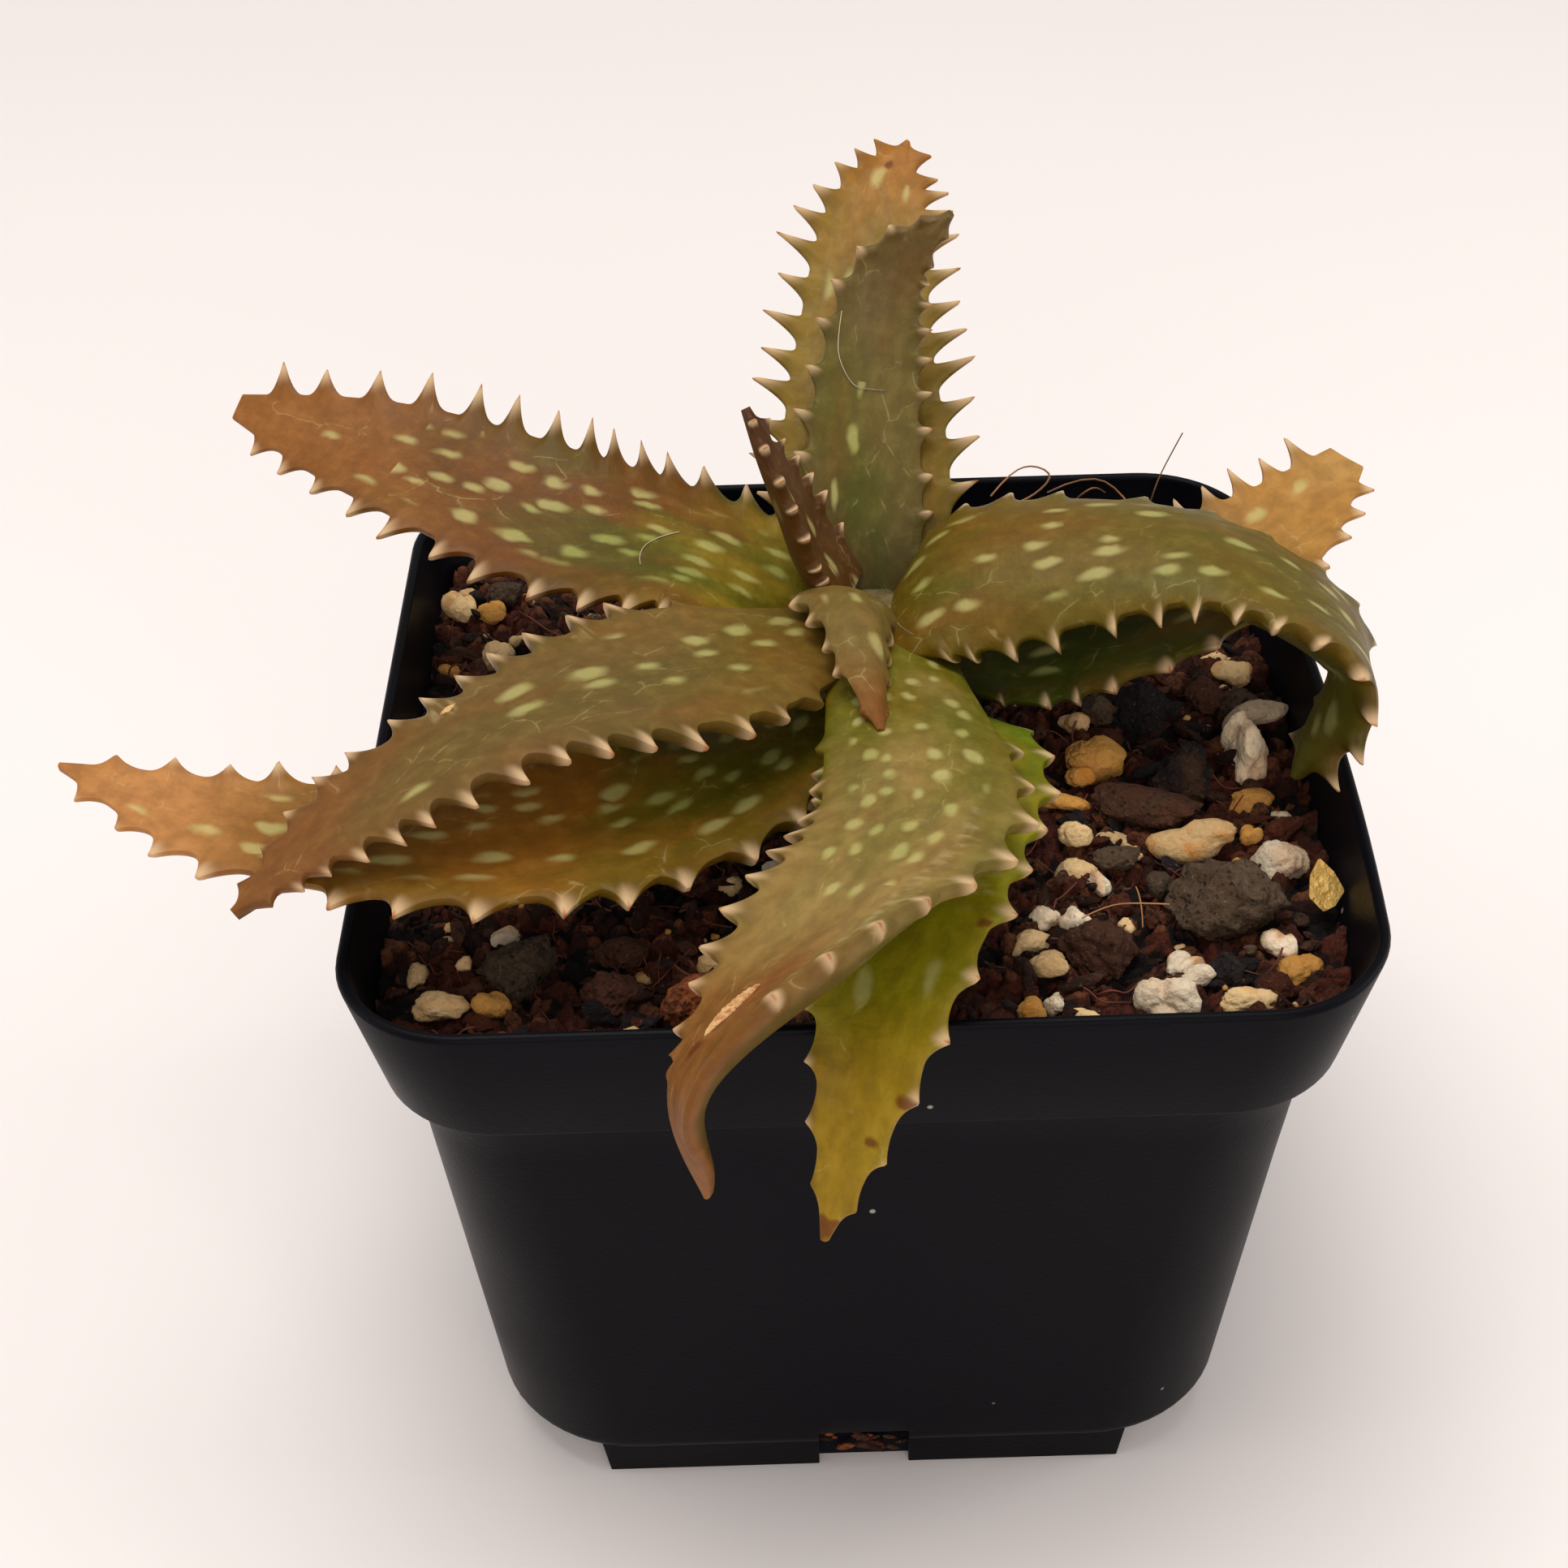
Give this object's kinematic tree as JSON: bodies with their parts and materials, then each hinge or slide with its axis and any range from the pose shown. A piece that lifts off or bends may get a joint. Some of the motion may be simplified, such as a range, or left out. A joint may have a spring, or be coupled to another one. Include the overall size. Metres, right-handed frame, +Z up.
{
  "type": "potted aloe dorotheae hybrid",
  "caption": "Rosette of toothed, spotted succulent leaves in gritty mix, in a black square nursery pot with a deep rim band and drain notches.",
  "frame": {"origin": "on the surface the pot stands on, in the middle of the whole part's outline seen from above", "axes": "+Z up; the side of the pot that faces -Y is the front, with the two front leaves hanging over it"},
  "size_m": [0.1238, 0.1184, 0.1063],
  "materials": {
    "pot_plastic": "moulded black plastic, soft satin sheen",
    "mix": "rough damp bark and coir",
    "stem_skin": "matt, dry",
    "young_leaf": "satin, waxy",
    "green_leaf": "satin, waxy, with pale spots",
    "tan_leaf": "satin, waxy, with pale spots",
    "lava": "rough, porous",
    "pumice": "rough, chalky"
  },
  "bodies": {
    "root": {"pot": "pot_plastic", "soil": "mix", "stem": "stem_skin", "leaf_young_front": "young_leaf", "leaf_young_back": "young_leaf", "leaf_back_inner": "green_leaf", "leaf_left_middle": "green_leaf", "leaf_right_arching": "green_leaf", "leaf_front_upper": "green_leaf", "leaf_left_back": "green_leaf", "leaf_right_back": "tan_leaf", "leaf_left_low": "green_leaf", "leaf_front_low": "green_leaf", "leaf_back_outer": "tan_leaf", "stone_lava_grey": "lava", "stone_lava_dark": "lava", "stone_lava_back": "lava", "stone_lava_front": "lava", "stone_grey_left": "lava", "stone_brown_left": "lava", "stone_orange_left": "lava", "stone_pumice_tall": "pumice", "stone_pumice_wide": "pumice", "stone_pumice_front": "pumice"}
  },
  "joints": []
}
